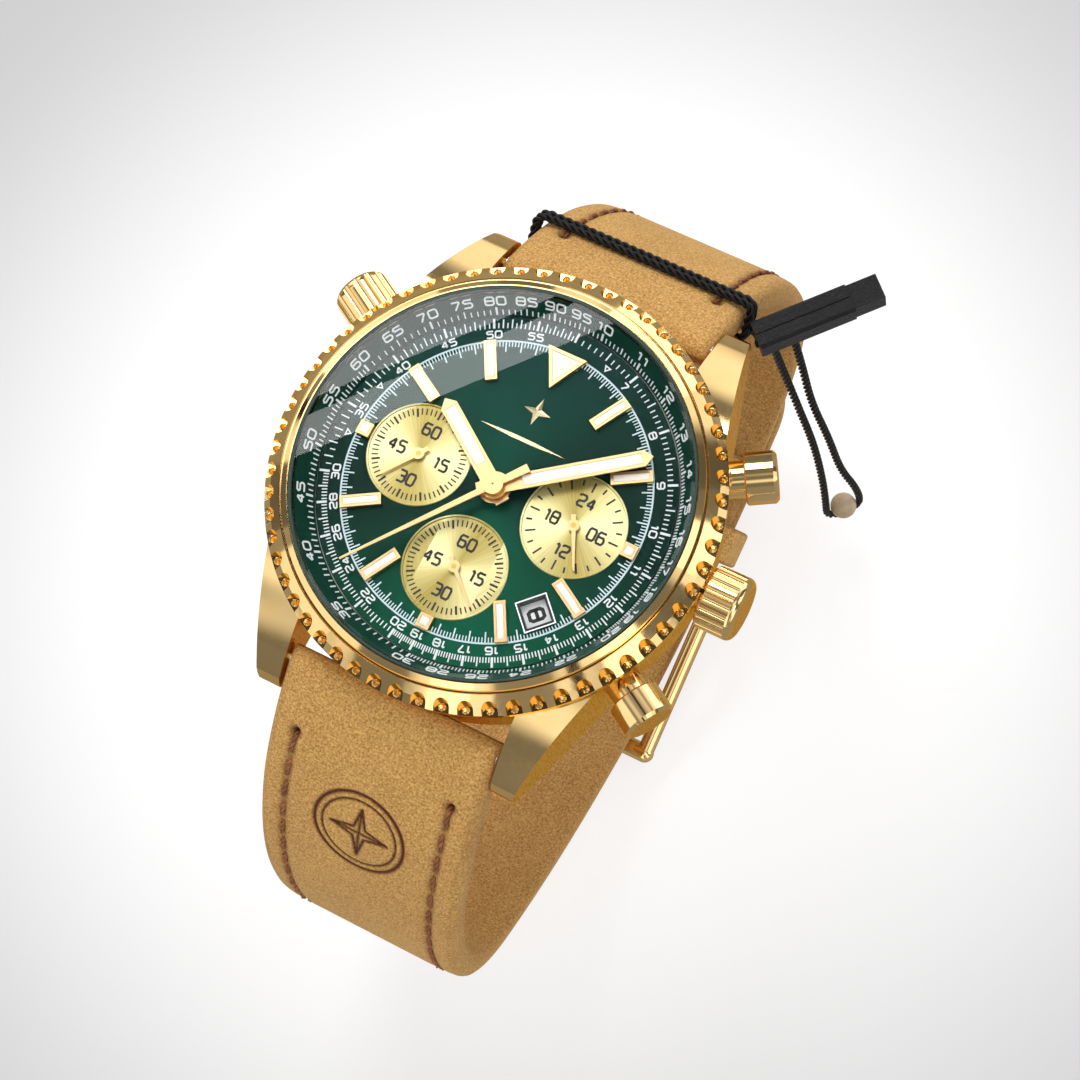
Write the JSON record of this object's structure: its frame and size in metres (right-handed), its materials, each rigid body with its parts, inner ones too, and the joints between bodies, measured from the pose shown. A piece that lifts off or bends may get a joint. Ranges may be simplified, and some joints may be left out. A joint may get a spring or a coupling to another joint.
{
  "type": "chronograph wristwatch",
  "caption": "Quartz chronograph wristwatch with counters, date, slide-rule ring, crown, pushers and a buckled leather strap.",
  "frame": {"origin": "centre of the case back's outer face", "axes": "+Z out through the crystal, +X to 3 o'clock, +Y to 12 o'clock"},
  "size_m": [0.0475, 0.077, 0.0638],
  "materials": {
    "gold_polished": "polished gold tone",
    "gold_brushed": "brushed gold tone",
    "steel": "satin",
    "steel_polished": "polished",
    "brass_train": "turned",
    "crystal_glass": "clear",
    "seal_rubber": "satin",
    "spacer_plastic": "moulded",
    "board": "lacquered",
    "dial_green": "sunburst green lacquer",
    "ring_green": "green lacquer with white print",
    "counter_gold": "sunburst champagne",
    "date_white": "printed",
    "coil_copper": "enamelled wire",
    "strap_leather": "tan nubuck",
    "tag_cord": "waxed twisted cord",
    "tag_plastic": "fine grained",
    "bead_ivory": "satin"
  },
  "bodies": {
    "case": {"mid_case": "gold_polished", "bezel": "gold_polished", "buckle_frame": "gold_polished", "case_back": "steel", "case_tubes": "gold_polished", "gaskets": "seal_rubber", "crystal": "crystal_glass", "dial": "dial_green", "counter_discs": "counter_gold", "date_frame": "steel_polished", "hour_markers": "gold_polished", "stators": "steel", "coils": "coil_copper", "movement_ring": "spacer_plastic", "main_plate": "steel", "train_bridge": "steel", "bridge_screws": "steel_polished", "battery": "steel_polished", "circuit_board": "board", "strap_12": "strap_leather", "strap_6": "strap_leather", "spring_bars": "steel_polished", "fixed_keeper": "strap_leather", "tag_cord_wrap": "tag_cord", "tag_seal": "tag_plastic", "tag_cord_drop": "tag_cord", "tag_bead": "bead_ivory"},
    "rule_ring": {"rule_ring": "ring_green"},
    "rule_crown": {"rule_crown": "gold_polished", "rule_stem": "steel"},
    "minute": {"minute_hand": "gold_polished", "center_wheel": "brass_train"},
    "third_wheel": {"third_wheel": "brass_train"},
    "seconds": {"seconds_hand": "gold_polished", "seconds_wheel": "brass_train"},
    "fifth_wheel": {"fifth_wheel": "brass_train"},
    "rotor": {"rotor": "steel"},
    "motion_wheel": {"motion_wheel": "brass_train"},
    "hour": {"hour_hand": "gold_polished", "hour_wheel": "brass_train"},
    "day_idler": {"day_idler": "brass_train"},
    "day": {"day_hand": "gold_polished", "day_wheel": "brass_train"},
    "date_ring": {"date_ring": "date_white"},
    "chrono": {"chrono_hand": "gold_polished", "chrono_spindle": "brass_train"},
    "chrono_wheel": {"chrono_wheel": "brass_train"},
    "counter": {"counter_hand": "gold_polished", "counter_wheel": "brass_train"},
    "chrono_idler": {"chrono_idler": "brass_train"},
    "chrono_rotor": {"chrono_rotor": "steel"},
    "crown_slide": {"crown_gasket": "seal_rubber"},
    "crown": {"crown": "gold_polished", "stem": "steel"},
    "pusher_2": {"pusher_2": "gold_polished", "pusher_spring_2": "steel"},
    "pusher_4": {"pusher_4": "gold_polished", "pusher_spring_4": "steel"},
    "buckle_tongue": {"buckle_tongue": "gold_polished"},
    "free_keeper": {"free_keeper": "strap_leather"}
  },
  "joints": [
    {"name": "minute_turn", "type": "hinge", "parent": "case", "child": "minute", "pos_m": [0, 0, 0.006], "axis": [0, 0, -1], "continuous": true},
    {"name": "third_turn", "type": "hinge", "parent": "case", "child": "third_wheel", "pos_m": [-0.00415, 0.00286, 0.006], "axis": [0, 0, -1], "continuous": true},
    {"name": "seconds_turn", "type": "hinge", "parent": "case", "child": "seconds", "pos_m": [-0.00795, 0, 0.006], "axis": [0, 0, -1], "continuous": true},
    {"name": "fifth_turn", "type": "hinge", "parent": "case", "child": "fifth_wheel", "pos_m": [-0.00915, -0.00208, 0.006], "axis": [0, 0, -1], "continuous": true},
    {"name": "rotor_turn", "type": "hinge", "parent": "case", "child": "rotor", "pos_m": [-0.00803, -0.00402, 0.006], "axis": [0, 0, -1], "continuous": true},
    {"name": "motion_turn", "type": "hinge", "parent": "case", "child": "motion_wheel", "pos_m": [-0.00063, 0.00355, 0.006], "axis": [0, 0, -1], "continuous": true},
    {"name": "hour_turn", "type": "hinge", "parent": "case", "child": "hour", "pos_m": [0, 0, 0.006], "axis": [0, 0, -1], "continuous": true},
    {"name": "day_idler_turn", "type": "hinge", "parent": "case", "child": "day_idler", "pos_m": [0.00323, 0, 0.006], "axis": [0, 0, -1], "continuous": true},
    {"name": "day_turn", "type": "hinge", "parent": "case", "child": "day", "pos_m": [0.00795, 0, 0.006], "axis": [0, 0, -1], "continuous": true},
    {"name": "date_turn", "type": "hinge", "parent": "case", "child": "date_ring", "pos_m": [0, 0, 0.006], "axis": [0, 0, -1], "continuous": true},
    {"name": "chrono_turn", "type": "hinge", "parent": "case", "child": "chrono", "pos_m": [0, 0, 0.006], "axis": [0, 0, -1], "continuous": true},
    {"name": "chrono_wheel_turn", "type": "hinge", "parent": "case", "child": "chrono_wheel", "pos_m": [0.00284, -0.00423, 0.006], "axis": [0, 0, -1], "continuous": true},
    {"name": "counter_turn", "type": "hinge", "parent": "case", "child": "counter", "pos_m": [0, -0.00795, 0.006], "axis": [0, 0, -1], "continuous": true},
    {"name": "chrono_idler_turn", "type": "hinge", "parent": "case", "child": "chrono_idler", "pos_m": [0.00226, 0.00082, 0.006], "axis": [0, 0, -1], "continuous": true},
    {"name": "chrono_rotor_turn", "type": "hinge", "parent": "case", "child": "chrono_rotor", "pos_m": [0.00436, 0.00159, 0.006], "axis": [0, 0, -1], "continuous": true},
    {"name": "rule_ring_turn", "type": "hinge", "parent": "case", "child": "rule_ring", "pos_m": [0, 0, 0.006], "axis": [0, 0, -1], "continuous": true},
    {"name": "rule_crown_turn", "type": "hinge", "parent": "case", "child": "rule_crown", "pos_m": [0, 0, 0.0053], "axis": [-0.866, 0.5, 0], "continuous": true},
    {"name": "crown_pull", "type": "slide", "parent": "case", "child": "crown_slide", "axis": [1, 0, 0], "range_m": [0, 0.001]},
    {"name": "crown_turn", "type": "hinge", "parent": "crown_slide", "child": "crown", "pos_m": [0.0226, 0, 0.0052], "axis": [1, 0, 0], "continuous": true},
    {"name": "pusher_2_press", "type": "slide", "parent": "case", "child": "pusher_2", "axis": [-0.866, -0.5, 0], "range_m": [0, 0.0008], "stiffness_N_per_m": 1500, "springref_m": -0.0004},
    {"name": "pusher_4_press", "type": "slide", "parent": "case", "child": "pusher_4", "axis": [-0.866, 0.5, 0], "range_m": [0, 0.0008], "stiffness_N_per_m": 1500, "springref_m": -0.0004},
    {"name": "tongue_swing", "type": "hinge", "parent": "case", "child": "buckle_tongue", "pos_m": [0, 0.00885, -0.04448], "axis": [1, 0, 0], "range_deg": [0, 8]},
    {"name": "keeper_slide", "type": "hinge", "parent": "case", "child": "free_keeper", "pos_m": [0, 0, 0.02554], "axis": [1, 0, 0], "range_deg": [-2.5, 3.5]}
  ],
  "couplings": [
    {"joint": "third_turn", "follows": "minute_turn", "ratio": -8},
    {"joint": "seconds_turn", "follows": "minute_turn", "ratio": 60},
    {"joint": "fifth_turn", "follows": "minute_turn", "ratio": -240},
    {"joint": "rotor_turn", "follows": "minute_turn", "ratio": 1800},
    {"joint": "motion_turn", "follows": "minute_turn", "ratio": -0.33333},
    {"joint": "hour_turn", "follows": "minute_turn", "ratio": 0.083333},
    {"joint": "day_idler_turn", "follows": "minute_turn", "ratio": -0.072464},
    {"joint": "day_turn", "follows": "minute_turn", "ratio": 0.041667},
    {"joint": "date_turn", "follows": "minute_turn", "ratio": 0.0013441},
    {"joint": "chrono_wheel_turn", "follows": "chrono_turn", "ratio": -0.13333},
    {"joint": "counter_turn", "follows": "chrono_turn", "ratio": 0.016667},
    {"joint": "chrono_idler_turn", "follows": "chrono_turn", "ratio": -4},
    {"joint": "chrono_rotor_turn", "follows": "chrono_turn", "ratio": 30},
    {"joint": "rule_crown_turn", "follows": "rule_ring_turn", "ratio": 15}
  ]
}
